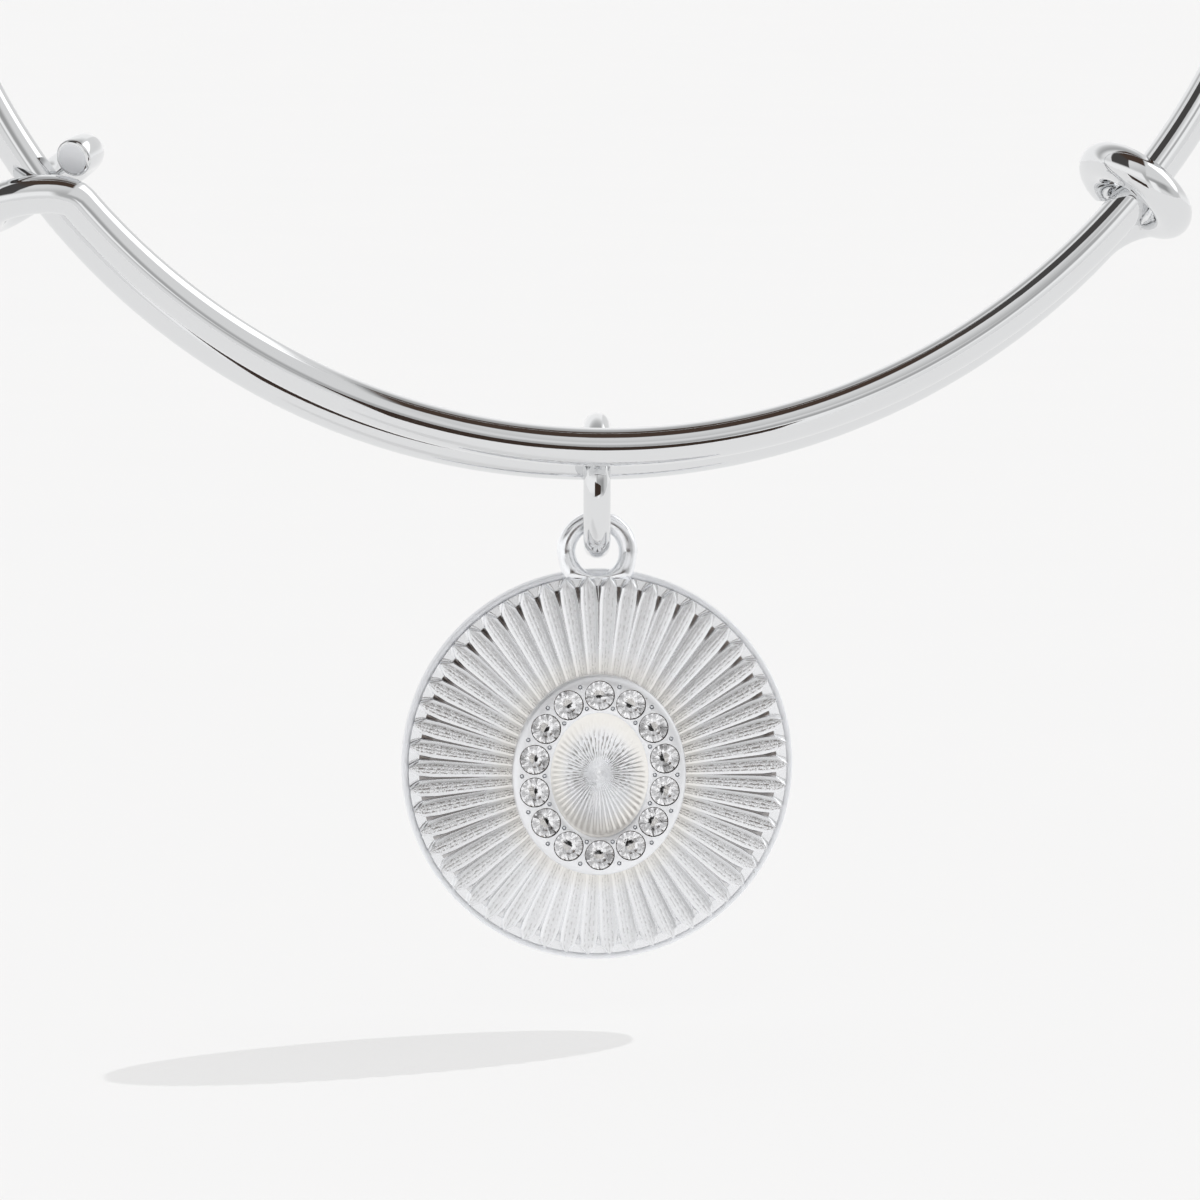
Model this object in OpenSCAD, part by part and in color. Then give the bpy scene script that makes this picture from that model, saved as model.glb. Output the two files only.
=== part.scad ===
// Expandable wire charm bangle that hangs with its round sunburst charm below it.
// X is to the right, Z is up and Y points away from the viewer, who sees the charm's face.
// The origin is the inside top of the wire, where the bangle hangs. All sizes are in millimetres.

/* [Bangle wire] */
// Inside diameter of the bangle
bangle_inner_d = 67; // [58:0.5:76]
// Diameter of the wire
wire_d = 1.95; // [1.6:0.05:2.3]
// Angle from the bottom to the left coil, which ends the front run
left_coil_angle = 54.3; // [50:0.1:58]
// Angle from the bottom to the right coil, which ends the rear run
right_coil_angle = 50.3; // [46:0.1:55]
// How far the rear run hangs below the front run
lap_drop = 1.06; // [0.8:0.02:1.4]
// How far the rear run lies to the left of the front run
lap_shift = 0.28; // [0:0.02:0.5]
// Round-over of the wire's two cut ends
end_round = 0.18; // [0.1:0.02:0.3]

/* [Coils] */
// Gap between the right coil and the run that slides through it
coil_gap = 0.3; // [0.2:0.05:0.5]
// How much wider than the right coil the left one is wound, measured from its centre
left_extra_r = 0.6; // [0.5:0.02:0.8]
// How far behind its run the left coil's centre lies
left_back = 0.46; // [0.3:0.02:0.56]
// How far outside its run the left coil's centre lies
left_out = 0.18; // [0.1:0.02:0.3]
// How far the left coil leans out of square with its run
left_lean = 0.44; // [0.3:0.02:0.6]
// How far the left coil moves along its run towards the lap in a whole turn
left_pitch = 0.64; // [0.5:0.02:0.8]
// How far round its run the left coil goes, in degrees
left_turn = 308; // [280:2:310]
// How far inside its run the right coil's centre lies
right_in = 0.16; // [0.1:0.02:0.24]
// How far the right coil leans out of square with its run
right_lean = 0.64; // [0.6:0.02:0.9]
// How far round its run the right coil goes, in degrees
right_turn = 336; // [300:2:338]

/* [Jump ring] */
// Diameter of the ring's wire
ring_wire_d = 1.38; // [1:0.02:1.6]
// Room round the bangle's wire inside the ring, when the ring is centred on it
ring_play = 1.325; // [0.8:0.025:1.6]
// Gap left where the ring rests on the bangle, and where the charm rests on the ring
rest_gap = 0.08; // [0.05:0.01:0.15]
// Gap between the ring and the front run that passes before it
ring_clearance = 0.6; // [0.4:0.05:1]
// How far the ring is turned out of square with the bangle, in degrees
ring_turn = 5.5; // [0:0.5:10]

/* [Charm] */
// Diameter of the charm's plain disc
disc_d = 19.7; // [17:0.1:22]
// Thickness of the plain disc
disc_t = 1; // [0.8:0.05:1.6]
// Round-over of the disc's rim
disc_round = 0.35; // [0.2:0.05:0.38]
// Width of the smooth ledge between the ribs' tips and the rim
ledge_w = 0.3; // [0.12:0.02:0.5]
// Wire of the bail, which is cast as a small upright ring
bail_wire_d = 0.95; // [0.7:0.05:1.2]
// Room round the jump ring's wire inside the bail, when the wire is centred in it
bail_play = 0.4; // [0.3:0.02:0.6]
// Height of the bail's centre above the disc's edge
bail_rise = 0.9; // [0.8:0.02:1.3]

/* [Sunburst ribs] */
// Number of ribs
rib_count = 54; // [40:2:60]
// Height of the ribs above the disc
rib_h = 0.5; // [0.3:0.05:0.7]
// Length of a rib's pointed outer end
rib_point = 0.9; // [0.5:0.05:1.4]
// How far below the disc's centre the rays meet, which is also the halo's centre
burst_drop = 0.42; // [0:0.02:0.6]

/* [Stone halo] */
// Number of stones
stone_count = 14; // [10:1:14]
// Diameter of a stone
stone_d = 1.44; // [1.2:0.02:1.5]
// Half the width of the oval that the stones' centres lie on
row_rx = 3.35; // [3.3:0.05:3.9]
// Half the height of that oval
row_rz = 4.03; // [4:0.05:4.6]
// Metal on each side of the stones
halo_margin = 0.22; // [0.16:0.02:0.3]
// Height of the halo above the disc
halo_h = 1; // [0.85:0.05:1.3]
// Depth of the oval bowl inside the halo
bowl_depth = 0.6; // [0.4:0.05:0.75]
// Round-over of the halo's edges
halo_round = 0.16; // [0.1:0.02:0.2]
// Gap all round a stone in its seat
seat_gap = 0.04; // [0.03:0.01:0.06]
// Radius of the metal grains between the stones
grain_r = 0.16; // [0.12:0.01:0.18]

/* [Hidden] */
function stone_name(k) = str("stone_", k < 10 ? "0" : "", k);

silver = [0.86, 0.86, 0.87];
crystal = [0.93, 0.95, 0.97];
$fn = 64;

// The wire. Its centreline starts in the left coil, runs across the front of the lap, round the
// top of the bangle and across the rear of the lap, and ends in the right coil.
wire_r = wire_d / 2;
run_r = bangle_inner_d / 2 + wire_r;
coil_r = wire_d + coil_gap;
left_coil_r = coil_r + left_extra_r;
wire_sides = 16;
run_step = 4;
coil_step = 14;
bend_steps = 6;
whole_turn = 360;
// Angles from the bottom between which the wire crosses from the front run's line to the rear one's
cross_start = 60;
cross_end = whole_turn - cross_start;
// Lengths of wire in which a run turns into its coil
left_bend_len = 1.9;
right_bend_len = 3;
// Angles round the coils at which these bends meet them
left_join = 58;
right_join = 60;

// The jump ring hangs at the rear run's lowest point and passes between the two runs.
ring_wire_r = ring_wire_d / 2;
ring_inner_r = wire_r + ring_play;
ring_r = ring_inner_r + ring_wire_r;
ring_drop = ring_inner_r - wire_r - rest_gap;
lap_gap = sqrt(pow(ring_inner_r + ring_wire_d + wire_r + ring_clearance, 2) - pow(lap_drop + ring_drop, 2));
lap_y = lap_gap / 2;
hang_x = -lap_shift / 2;
rear_z = -bangle_inner_d / 2 - lap_drop / 2 - run_r;
ring_z = rear_z - ring_drop;
pivot_z = ring_z - ring_r;

// The charm hangs in the ring by its bail.
disc_r = disc_d / 2;
bail_hole_r = ring_wire_r + bail_play;
bail_wire_r = bail_wire_d / 2;
bail_r = bail_hole_r + bail_wire_r;
bail_z = pivot_z - (bail_hole_r - ring_wire_r - rest_gap);
disc_z = bail_z - bail_rise - disc_r;

// The cast face of the charm, measured from the plain back of the disc
rib_top = disc_t + rib_h;
valley_rim = disc_t + 0.1 * rib_h;
valley_hub = disc_t + 0.6 * rib_h;
halo_top = disc_t + halo_h;
bowl_floor = halo_top - bowl_depth;
tip_r = disc_r - ledge_w;
row_half = stone_d / 2 + halo_margin;
rib_sides = 4;
ray_count = rib_count * rib_sides;

// The stones
girdle_h = 0.05;
crown_h = 0.22;
pavilion_h = 0.6;
girdle_sink = 0.06;
table_share = 0.56;
star_share = 0.78;
main_share = 0.35;
facets = 8;

function mix(a, b, s) = a + (b - a) * s;
function unit(v) = v / norm(v);
function ease(s) = s * s * (3 - 2 * s);
function clamp01(s) = max(0, min(1, s));

// Angles are in degrees from the bottom of the bangle, growing to the right. The front run is
// near 0 and the rear run is near 360.
function crossing(u) = clamp01((u - cross_start) / (cross_end - cross_start));
function lens_angle() = min(left_coil_angle, right_coil_angle) - 2;
function lens(u) = abs(u) > lens_angle() ? 0 : pow(cos(90 * u / lens_angle()), 2) * (lap_gap - coil_r) / 2;
function run_x(u) = run_r * sin(u) + lap_shift * (0.5 - ease(crossing(u)));
function run_y(u) = -cos(180 * crossing(u)) * coil_r / 2 - lens(u) + lens(u - whole_turn);
function run_centre_z(u) = -bangle_inner_d / 2 + lap_drop * (0.5 - ease(crossing(u)));
function run_point(u) = [run_x(u), run_y(u), run_centre_z(u) - run_r * cos(u)];

// A coil turns about a hub close to the run that passes through it: out is away from the bangle's
// centre and up is along the run, away from the lap. Its angle starts on the side where its own run
// comes in, and its wire has climbed none of the pitch at still_angle.
front = [0, -1, 0];
still_angle = 72;
function out_dir(u) = [sin(u), 0, -cos(u)];
function up_dir(u) = sign(u) * [cos(u), 0, sin(u)];
function coil_dir(u, side, a) = sin(a) * out_dir(u) + cos(a) * side * front;
function coil_point(hub, r, u, side, lean, climb, a) =
    hub + r * coil_dir(u, side, a) + up_dir(u) * (lean * cos(a) + climb * (a - still_angle) / whole_turn);
function bezier(a, b, c, d, s) =
    pow(1 - s, 3) * a + 3 * pow(1 - s, 2) * s * b + 3 * (1 - s) * s * s * c + pow(s, 3) * d;

left_hub = run_point(whole_turn - left_coil_angle) + left_out * out_dir(-left_coil_angle) - left_back * front;
right_hub = run_point(right_coil_angle) - right_in * out_dir(right_coil_angle);
function left_coil(a) = coil_point(left_hub, left_coil_r, -left_coil_angle, 1, left_lean, -left_pitch, a);
function right_coil(a) = coil_point(right_hub, coil_r, right_coil_angle, -1, -right_lean, 0, a);
run_start = -left_coil_angle + (left_bend_len + lap_drop * sin(left_coil_angle)) / run_r * 180 / PI;
run_end = whole_turn + right_coil_angle
    - (right_bend_len - lap_drop * sin(right_coil_angle)) / run_r * 180 / PI;

// Each station is a point of the centreline and a direction square to the wire there.
function left_stations() = [
    for (a = [left_turn : -(left_turn - left_join) / ceil((left_turn - left_join) / coil_step) : left_join - 0.01])
        [left_coil(a), coil_dir(-left_coil_angle, 1, a)]
];
function bend_stations(p, q, p_dir, q_dir, p_side, q_side, reach) = [
    for (i = [1 : bend_steps - 1])
        [bezier(p, p + p_dir * reach, q - q_dir * reach, q, i / bend_steps), mix(p_side, q_side, i / bend_steps)]
];
function run_stations() = [
    for (i = [0 : ceil((run_end - run_start) / run_step)])
        [run_point(mix(run_start, run_end, i / ceil((run_end - run_start) / run_step))), front]
];
function right_stations() = [
    for (a = [right_join : (right_turn - right_join) / ceil((right_turn - right_join) / coil_step) : right_turn + 0.01])
        [right_coil(a), -coil_dir(right_coil_angle, -1, a)]
];
stations = concat(
    left_stations(),
    bend_stations(
        left_coil(left_join), run_point(run_start),
        unit(left_coil(left_join - 1) - left_coil(left_join)), unit(run_point(run_start + 1) - run_point(run_start)),
        coil_dir(-left_coil_angle, 1, left_join), front, 0.45 * left_bend_len + 0.3
    ),
    run_stations(),
    bend_stations(
        run_point(run_end), right_coil(right_join),
        unit(run_point(run_end) - run_point(run_end - 1)), unit(right_coil(right_join + 1) - right_coil(right_join)),
        front, -coil_dir(right_coil_angle, -1, right_join), 0.4 * right_bend_len
    ),
    right_stations()
);
last_station = len(stations) - 1;

function station_point(i) = stations[i][0];
function station_tangent(i) = unit(station_point(min(i + 1, last_station)) - station_point(max(i - 1, 0)));
function station_ring(i, r, shift) =
    let (
        t = station_tangent(i),
        n = unit(stations[i][1] - (stations[i][1] * t) * t),
        b = cross(t, n)
    )
    [for (k = [0 : wire_sides - 1])
        station_point(i) + shift * t
        + r * (cos(360 * k / wire_sides) * n + sin(360 * k / wire_sides) * b)];
wire_rings = concat(
    [station_ring(0, wire_r - end_round, -end_round)],
    [for (i = [0 : last_station]) station_ring(i, wire_r, 0)],
    [station_ring(last_station, wire_r - end_round, end_round)]
);

module bangle_wire() {
    rings = len(wire_rings);
    sides = wire_sides;
    color(silver)
        polyhedron(
            points = [for (ring = wire_rings) each ring],
            faces = concat(
                [[for (k = [0 : sides - 1]) k]],
                [for (i = [0 : rings - 2], k = [0 : sides - 1])
                    [i * sides + k, (i + 1) * sides + k, (i + 1) * sides + (k + 1) % sides]],
                [for (i = [0 : rings - 2], k = [0 : sides - 1])
                    [i * sides + k, (i + 1) * sides + (k + 1) % sides, i * sides + (k + 1) % sides]],
                [[for (k = [sides - 1 : -1 : 0]) (rings - 1) * sides + k]]
            )
        );
}

module jump_ring() {
    color(silver)
        translate([hang_x, lap_y, ring_z])
            rotate([0, 90, -ring_turn])
                rotate_extrude()
                    translate([ring_r, 0])
                        circle(r = ring_wire_r);
}

// Puts what is drawn face up on the disc's back into the charm's hanging place.
module hang_charm() {
    translate([hang_x, lap_y, disc_z])
        rotate([90, 0, 0])
            translate([0, 0, -disc_t / 2])
                children();
}

module plain_disc() {
    rotate_extrude()
        polygon(concat(
            [[0, 0]],
            [for (a = [-90 : 15 : 0]) [disc_r - disc_round + disc_round * cos(a), disc_round + disc_round * sin(a)]],
            [for (a = [0 : 15 : 90]) [disc_r - disc_round + disc_round * cos(a), disc_t - disc_round + disc_round * sin(a)]],
            [[0, disc_t]]
        ));
}

module bail() {
    translate([0, disc_r + bail_rise, disc_t / 2])
        rotate_extrude()
            translate([bail_r, 0])
                circle(r = bail_wire_r);
}

// The cast face is a net of rays from the burst's centre, with four rays to each rib: the valley,
// the two edges of the rib and its crest. A place along a ray is 0 at the centre, 1 at the halo's
// inner edge, 2 at its outer edge and 3 at the rib tips.
function ray_angle(k) = whole_turn / rib_count * (floor(k / rib_sides) + [0, 0.19, 0.5, 0.81][k % rib_sides]);
function ray_role(k) = [0, 1, 2, 1][k % rib_sides];
function ray_end(k) = tip_r * [sin(ray_angle(k)), cos(ray_angle(k))] + [0, burst_drop];
function oval_reach(d, rx, rz) = 1 / sqrt(pow(d[0] / rx, 2) + pow(d[1] / rz, 2));
function halo_reach(d, grow) = oval_reach(d, row_rx + grow, row_rz + grow);
function ray_reach(k, place) =
    let (d = unit(ray_end(k)), inner = halo_reach(d, -row_half), outer = halo_reach(d, row_half))
    place < 1 ? place * inner :
    place < 2 ? mix(inner, outer, place - 1) :
    mix(outer, norm(ray_end(k)), place - 2);
function ray_point(k, place, z) =
    let (p = unit(ray_end(k)) * ray_reach(k, place)) [p[0], p[1] - burst_drop, z];
tip_place = 3;
point_place = tip_place - rib_point / (tip_r - row_rx - row_half);
bowl_places = [0.35, 0.65, 0.88];
// Each row of the net is its place and its heights at the valley, the rib's edge and its crest.
face_rows = concat(
    [for (s = bowl_places) [s, (bowl_floor + (bowl_depth - halo_round) * s * s) * [1, 1, 1]]],
    [
        [1, (halo_top - halo_round) * [1, 1, 1]],
        [1.09, halo_top * [1, 1, 1]],
        [1.91, halo_top * [1, 1, 1]],
        [2, (halo_top - halo_round) * [1, 1, 1]],
        [2.02, [valley_hub, rib_top - 0.1 * rib_h, rib_top]],
        [2.45, [mix(valley_hub, valley_rim, 0.45), rib_top - 0.12 * rib_h, rib_top]],
        [point_place, [mix(valley_hub, valley_rim, 0.85), rib_top - 0.15 * rib_h, rib_top]],
        [tip_place, [valley_rim, valley_rim, rib_top - 0.25 * rib_h]],
        [tip_place, disc_t / 2 * [1, 1, 1]]
    ]
);

module cast_face() {
    rows = len(face_rows);
    polyhedron(
        points = concat(
            [[0, -burst_drop, bowl_floor]],
            [for (row = face_rows, k = [0 : ray_count - 1]) ray_point(k, row[0], row[1][ray_role(k)])],
            [[0, -burst_drop, disc_t / 2]]
        ),
        faces = concat(
            [for (k = [0 : ray_count - 1]) [0, 1 + k, 1 + (k + 1) % ray_count]],
            [for (i = [0 : rows - 2], k = [0 : ray_count - 1])
                [1 + i * ray_count + k, 1 + (i + 1) * ray_count + k, 1 + (i + 1) * ray_count + (k + 1) % ray_count]],
            [for (i = [0 : rows - 2], k = [0 : ray_count - 1])
                [1 + i * ray_count + k, 1 + (i + 1) * ray_count + (k + 1) % ray_count, 1 + i * ray_count + (k + 1) % ray_count]],
            [for (k = [0 : ray_count - 1])
                [1 + (rows - 1) * ray_count + k, 1 + rows * ray_count, 1 + (rows - 1) * ray_count + (k + 1) % ray_count]]
        )
    );
}

// The stones' centres are evenly spaced along their oval, so the oval's length is summed first.
oval_steps = 180;
function oval_at(a) = [row_rx * sin(a), row_rz * cos(a)];
function oval_lengths(i = 0, sum = 0, a = whole_turn / oval_steps) =
    concat([[sum, i * a]], i == oval_steps ? [] : oval_lengths(i + 1, sum + norm(oval_at((i + 1) * a) - oval_at(i * a)), a));
oval_table = oval_lengths();
oval_whole = oval_table[oval_steps][0];
function oval_angle(turns) = lookup(oval_whole * turns, oval_table);
function row_point(turns) = oval_at(oval_angle(turns)) - [0, burst_drop];
function row_normal(turns) =
    let (a = oval_angle(turns)) unit([row_rz * sin(a), row_rx * cos(a)]);

module seats() {
    for (k = [0 : stone_count - 1])
        translate(concat(row_point(k / stone_count), halo_top - girdle_sink - girdle_h - pavilion_h - seat_gap))
            cylinder(r = stone_d / 2 + seat_gap, h = pavilion_h + halo_round + halo_h);
}

module grains() {
    for (k = [0 : stone_count - 1], side = [-1, 1])
        let (turns = (k + 0.5) / stone_count)
            translate(concat(row_point(turns) + side * (row_half - 2 * grain_r) * row_normal(turns), halo_top - grain_r / 4))
                sphere(r = grain_r);
}

module pendant() {
    color(silver)
        hang_charm() {
            difference() {
                union() {
                    plain_disc();
                    cast_face();
                    bail();
                }
                seats();
            }
            grains();
        }
}

// One stone, cut with a table, stars, mains and halves above its girdle and mains and halves below it
module cut_stone() {
    r = stone_d / 2;
    half = 180 / facets;
    girdle_top = girdle_h;
    function ring_points(n, radius, z, turn) =
        [for (k = [0 : n - 1]) let (a = whole_turn * k / n + turn) [radius * cos(a), radius * sin(a), z]];
    hull()
        polyhedron(
            points = concat(
                ring_points(facets, r * table_share, girdle_top + crown_h, 0),
                ring_points(facets, r * star_share, girdle_top + 0.62 * crown_h, half),
                ring_points(2 * facets, r, girdle_top, 0),
                ring_points(2 * facets, r, 0, 0),
                ring_points(facets, r * main_share, pavilion_h * (main_share * cos(half) - 1), half),
                [[0, 0, -pavilion_h]]
            ),
            faces = [[for (k = [0 : 7 * facets]) k]]
        );
}

module stone(k) {
    color(crystal)
        hang_charm()
            translate(concat(row_point((k - 1) / stone_count), halo_top - girdle_sink - girdle_h))
                cut_stone();
}

bangle_wire();
jump_ring();
pendant();
for (k = [1 : stone_count])
    stone(k);
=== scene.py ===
"""Looks of an expandable wire bangle with a round sunburst charm that hangs on a jump ring.

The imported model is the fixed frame. X is to the right, Z is up and Y points away from the viewer.
Sizes are named in millimetres, as in the part's source, and meshes are made in metres.
"""

import math

import bpy
from mathutils import Matrix, Vector


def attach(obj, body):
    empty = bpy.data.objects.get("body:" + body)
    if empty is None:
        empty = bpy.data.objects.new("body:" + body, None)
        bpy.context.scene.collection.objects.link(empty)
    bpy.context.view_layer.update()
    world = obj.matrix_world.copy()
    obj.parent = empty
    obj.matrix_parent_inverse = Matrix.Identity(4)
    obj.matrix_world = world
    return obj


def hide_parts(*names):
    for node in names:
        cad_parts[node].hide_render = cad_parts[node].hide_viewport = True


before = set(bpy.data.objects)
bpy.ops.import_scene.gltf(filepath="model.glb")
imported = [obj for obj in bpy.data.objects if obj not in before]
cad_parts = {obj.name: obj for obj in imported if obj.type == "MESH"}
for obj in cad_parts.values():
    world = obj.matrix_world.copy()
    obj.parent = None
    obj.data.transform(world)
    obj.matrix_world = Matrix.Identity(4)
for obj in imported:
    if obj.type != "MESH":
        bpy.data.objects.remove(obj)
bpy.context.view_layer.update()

MM = 0.001

# The bangle's wire, as in the part's source
BANGLE_INNER_D = 67.0
WIRE_D = 1.95
WIRE_R = WIRE_D / 2
RUN_R = BANGLE_INNER_D / 2 + WIRE_R
LEFT_COIL_ANGLE = 54.3
RIGHT_COIL_ANGLE = 50.3
LAP_DROP = 1.06
LAP_SHIFT = 0.28
END_ROUND = 0.18
COIL_R = WIRE_D + 0.3
LEFT_COIL_R = COIL_R + 0.6
LEFT_BACK = 0.46
LEFT_OUT = 0.18
LEFT_LEAN = 0.44
LEFT_PITCH = 0.64
LEFT_TURN = 308.0
RIGHT_IN = 0.16
RIGHT_LEAN = 0.64
RIGHT_TURN = 336.0
CROSS_START = 60.0
CROSS_END = 300.0
LEFT_BEND_LEN = 1.9
RIGHT_BEND_LEN = 3.0
LEFT_JOIN = 58.0
RIGHT_JOIN = 60.0
STILL_ANGLE = 72.0
WIRE_SIDES = 48

# The jump ring
RING_WIRE_R = 1.38 / 2
RING_INNER_R = WIRE_R + 1.325
RING_R = RING_INNER_R + RING_WIRE_R
REST_GAP = 0.08
RING_CLEARANCE = 0.6
RING_TURN = 5.5
RING_STEPS = 160
RING_SIDES = 40
RING_DROP = RING_INNER_R - WIRE_R - REST_GAP
LAP_GAP = math.sqrt(
    (RING_INNER_R + 2 * RING_WIRE_R + WIRE_R + RING_CLEARANCE) ** 2 - (LAP_DROP + RING_DROP) ** 2
)
LAP_Y = LAP_GAP / 2
HANG_X = -LAP_SHIFT / 2
REAR_Z = -BANGLE_INNER_D / 2 - LAP_DROP / 2 - RUN_R
RING_Z = REAR_Z - RING_DROP
PIVOT_Z = RING_Z - RING_R

# The charm
DISC_R = 19.7 / 2
DISC_T = 1.0
RIM_ROUND = 0.14
# How high the disc's face lies under the rays, inside the fine line at the rim
FACE_FLOOR = 0.88
TIP_R = DISC_R - 0.3
BAIL_HOLE_R = RING_WIRE_R + 0.4
BAIL_WIRE_R = 0.95 / 2
BAIL_RISE = 0.9
BAIL_Z = PIVOT_Z - (BAIL_HOLE_R - RING_WIRE_R - REST_GAP)
DISC_Z = BAIL_Z - BAIL_RISE - DISC_R
RIB_COUNT = 54
RIB_TOP = DISC_T + 0.5
BURST_DROP = 0.42
STONE_COUNT = 14
STONE_R = 1.44 / 2
ROW_RX = 3.35
ROW_RZ = 4.03
ROW_HALF = STONE_R + 0.22
HALO_TOP = DISC_T + 1.0
BOWL_FLOOR = HALO_TOP - 0.6
SEAT_GAP = 0.04
GIRDLE_TOP = HALO_TOP - 0.06
PAVILION_H = 0.6
MAIN_SHARE = 0.35
GIRDLE_H = 0.05
# The polish leaves this share of the wires' radii, so that they stay inside the plain model.
POLISH = 0.985

# The photograph's view, and the floor that the charm's shadow falls on
CAMERA_AZIMUTH = -5.5
CAMERA_ELEVATION = 5.5
CAMERA_DISTANCE = 0.45
CAMERA_FIELD = 0.060
SENSOR_W = 36.0
CAMERA_TARGET = (-0.000217, 0.0, -0.075295)
FLOOR_Z = -0.0970
FLOOR_HALF_W = 1.6
FLOOR_FRONT = -0.1
FLOOR_REAR = 3.0
PAPER_WHITE = 0.9301
# Where each far light travels, its strength, and its width in degrees
KEY_SUN = ((-0.92, -0.81, -1.0), 0.72, 0.6)
FILL_SUN = ((0.0, 0.0, -1.0), 1.09, 5.0)
# The dark card's distance in front, and its corners' places across and up, in millimetres
CARD_Y = -35.0
CARD_CORNERS = ((-16.0, -78.5), (17.0, -75.0), (17.0, -67.0), (-16.0, -62.5))


# Small tools that every piece uses


def fill(tree, node, inputs):
    """Fills or links a node's inputs by name or number."""
    for key, value in inputs.items():
        socket = node.inputs[key]
        if isinstance(value, bpy.types.NodeSocket):
            tree.links.new(value, socket)
        else:
            socket.default_value = value


def add_node(tree, kind, inputs=None, **settings):
    """Adds a node, sets its properties and then its inputs."""
    node = tree.nodes.new(kind)
    for name, value in settings.items():
        setattr(node, name, value)
    fill(tree, node, inputs or {})
    return node


def calc(tree, operation, first, second=None, third=None, clamp=False):
    """The result of one Math node."""
    values = {i: v for i, v in enumerate((first, second, third)) if v is not None}
    return add_node(tree, "ShaderNodeMath", values, operation=operation, use_clamp=clamp).outputs[0]


def times(tree, product, *factors):
    """The product of two or more values."""
    for factor in factors:
        product = calc(tree, "MULTIPLY", product, factor)
    return product


def ramp(tree, value, low, high, start=0.0, end=1.0):
    """A smooth step from start to end as value goes from low to high."""
    inputs = {0: value, 1: low, 2: high, 3: start, 4: end}
    return add_node(tree, "ShaderNodeMapRange", inputs, interpolation_type="SMOOTHSTEP").outputs[0]


def blend_colour(tree, share, first, second):
    """The colour between two colours."""
    inputs = {0: share, 6: first, 7: second}
    return add_node(tree, "ShaderNodeMix", inputs, data_type="RGBA").outputs[2]


def split(tree, vector):
    """The three parts of a vector."""
    return add_node(tree, "ShaderNodeSeparateXYZ", {0: vector}).outputs


def new_tree(name, sockets):
    """A Geometry Nodes tree with named inputs, and its input and output nodes."""
    tree = bpy.data.node_groups.new(name, "GeometryNodeTree")
    tree.interface.new_socket("Geometry", in_out="INPUT", socket_type="NodeSocketGeometry")
    for label, kind in sockets.items():
        tree.interface.new_socket(label, in_out="INPUT", socket_type=kind)
    tree.interface.new_socket("Geometry", in_out="OUTPUT", socket_type="NodeSocketGeometry")
    return tree, tree.nodes.new("NodeGroupInput"), tree.nodes.new("NodeGroupOutput")


def close_tree(tree, geometry, given, result):
    """Ends a tree with smooth faces, real geometry and its material."""
    smooth = add_node(tree, "GeometryNodeSetShadeSmooth", {0: geometry})
    real = add_node(tree, "GeometryNodeRealizeInstances", {0: smooth.outputs[0]})
    finish = {"Geometry": real.outputs[0], "Material": given.outputs["Material"]}
    dressed = add_node(tree, "GeometryNodeSetMaterial", finish)
    tree.links.new(dressed.outputs[0], result.inputs[0])


def store(tree, geometry, name, value, kind):
    """Writes a named attribute on the points of a geometry."""
    inputs = {"Geometry": geometry, "Name": name, "Value": value}
    return add_node(tree, "GeometryNodeStoreNamedAttribute", inputs, data_type=kind).outputs[0]


def link_object(name, mesh):
    """Puts a mesh in the scene at the origin. The floor gets no light off it."""
    piece = bpy.data.objects.new(name, mesh)
    piece.visible_diffuse = False
    bpy.context.scene.collection.objects.link(piece)
    return piece


def face_outwards(mesh):
    """Turns a closed mesh round if its faces point inwards."""
    mesh.calc_loop_triangles()
    corners = [v.co for v in mesh.vertices]
    volume = sum(
        corners[t.vertices[0]].dot(corners[t.vertices[1]].cross(corners[t.vertices[2]]))
        for t in mesh.loop_triangles
    )
    if volume < 0:
        mesh.flip_normals()


def run_tree(name, base, tree, values):
    """Runs a Geometry Nodes tree on a base mesh and keeps the result as a plain mesh."""
    piece = link_object(name, base)
    modifier = piece.modifiers.new("shape", "NODES")
    modifier.node_group = tree
    for socket in tree.interface.items_tree:
        if socket.item_type == "SOCKET" and socket.in_out == "INPUT" and socket.name in values:
            modifier[socket.identifier] = values[socket.name]
    depsgraph = bpy.context.evaluated_depsgraph_get()
    mesh = bpy.data.meshes.new_from_object(piece.evaluated_get(depsgraph), depsgraph=depsgraph)
    mesh.name = name
    piece.modifiers.clear()
    piece.data = mesh
    bpy.data.meshes.remove(base)
    return piece


def plain_mesh(name, points, faces, smooth=True):
    """A mesh from points in millimetres."""
    mesh = bpy.data.meshes.new(name)
    mesh.from_pydata([Vector(p) * MM for p in points], [], faces)
    mesh.polygons.foreach_set("use_smooth", [smooth] * len(mesh.polygons))
    mesh.update()
    return mesh


def mix(a, b, share):
    """The value between a and b."""
    return a + (b - a) * share


def ease(share):
    """A smooth step from 0 to 1."""
    share = max(0.0, min(1.0, share))
    return share * share * (3 - 2 * share)


def sin_deg(angle):
    """The sine of an angle in degrees."""
    return math.sin(math.radians(angle))


def cos_deg(angle):
    """The cosine of an angle in degrees."""
    return math.cos(math.radians(angle))


# The wire's path, by the same rules as the part's source. Angles are in degrees from the bottom.


def crossing(u):
    """How far the wire has crossed from the front run's line to the rear one's."""
    return max(0.0, min(1.0, (u - CROSS_START) / (CROSS_END - CROSS_START)))


def lens(u):
    """How far a run swings out round the jump ring."""
    reach = min(LEFT_COIL_ANGLE, RIGHT_COIL_ANGLE) - 2
    if abs(u) > reach:
        return 0.0
    return cos_deg(90 * u / reach) ** 2 * (LAP_GAP - COIL_R) / 2


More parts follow.
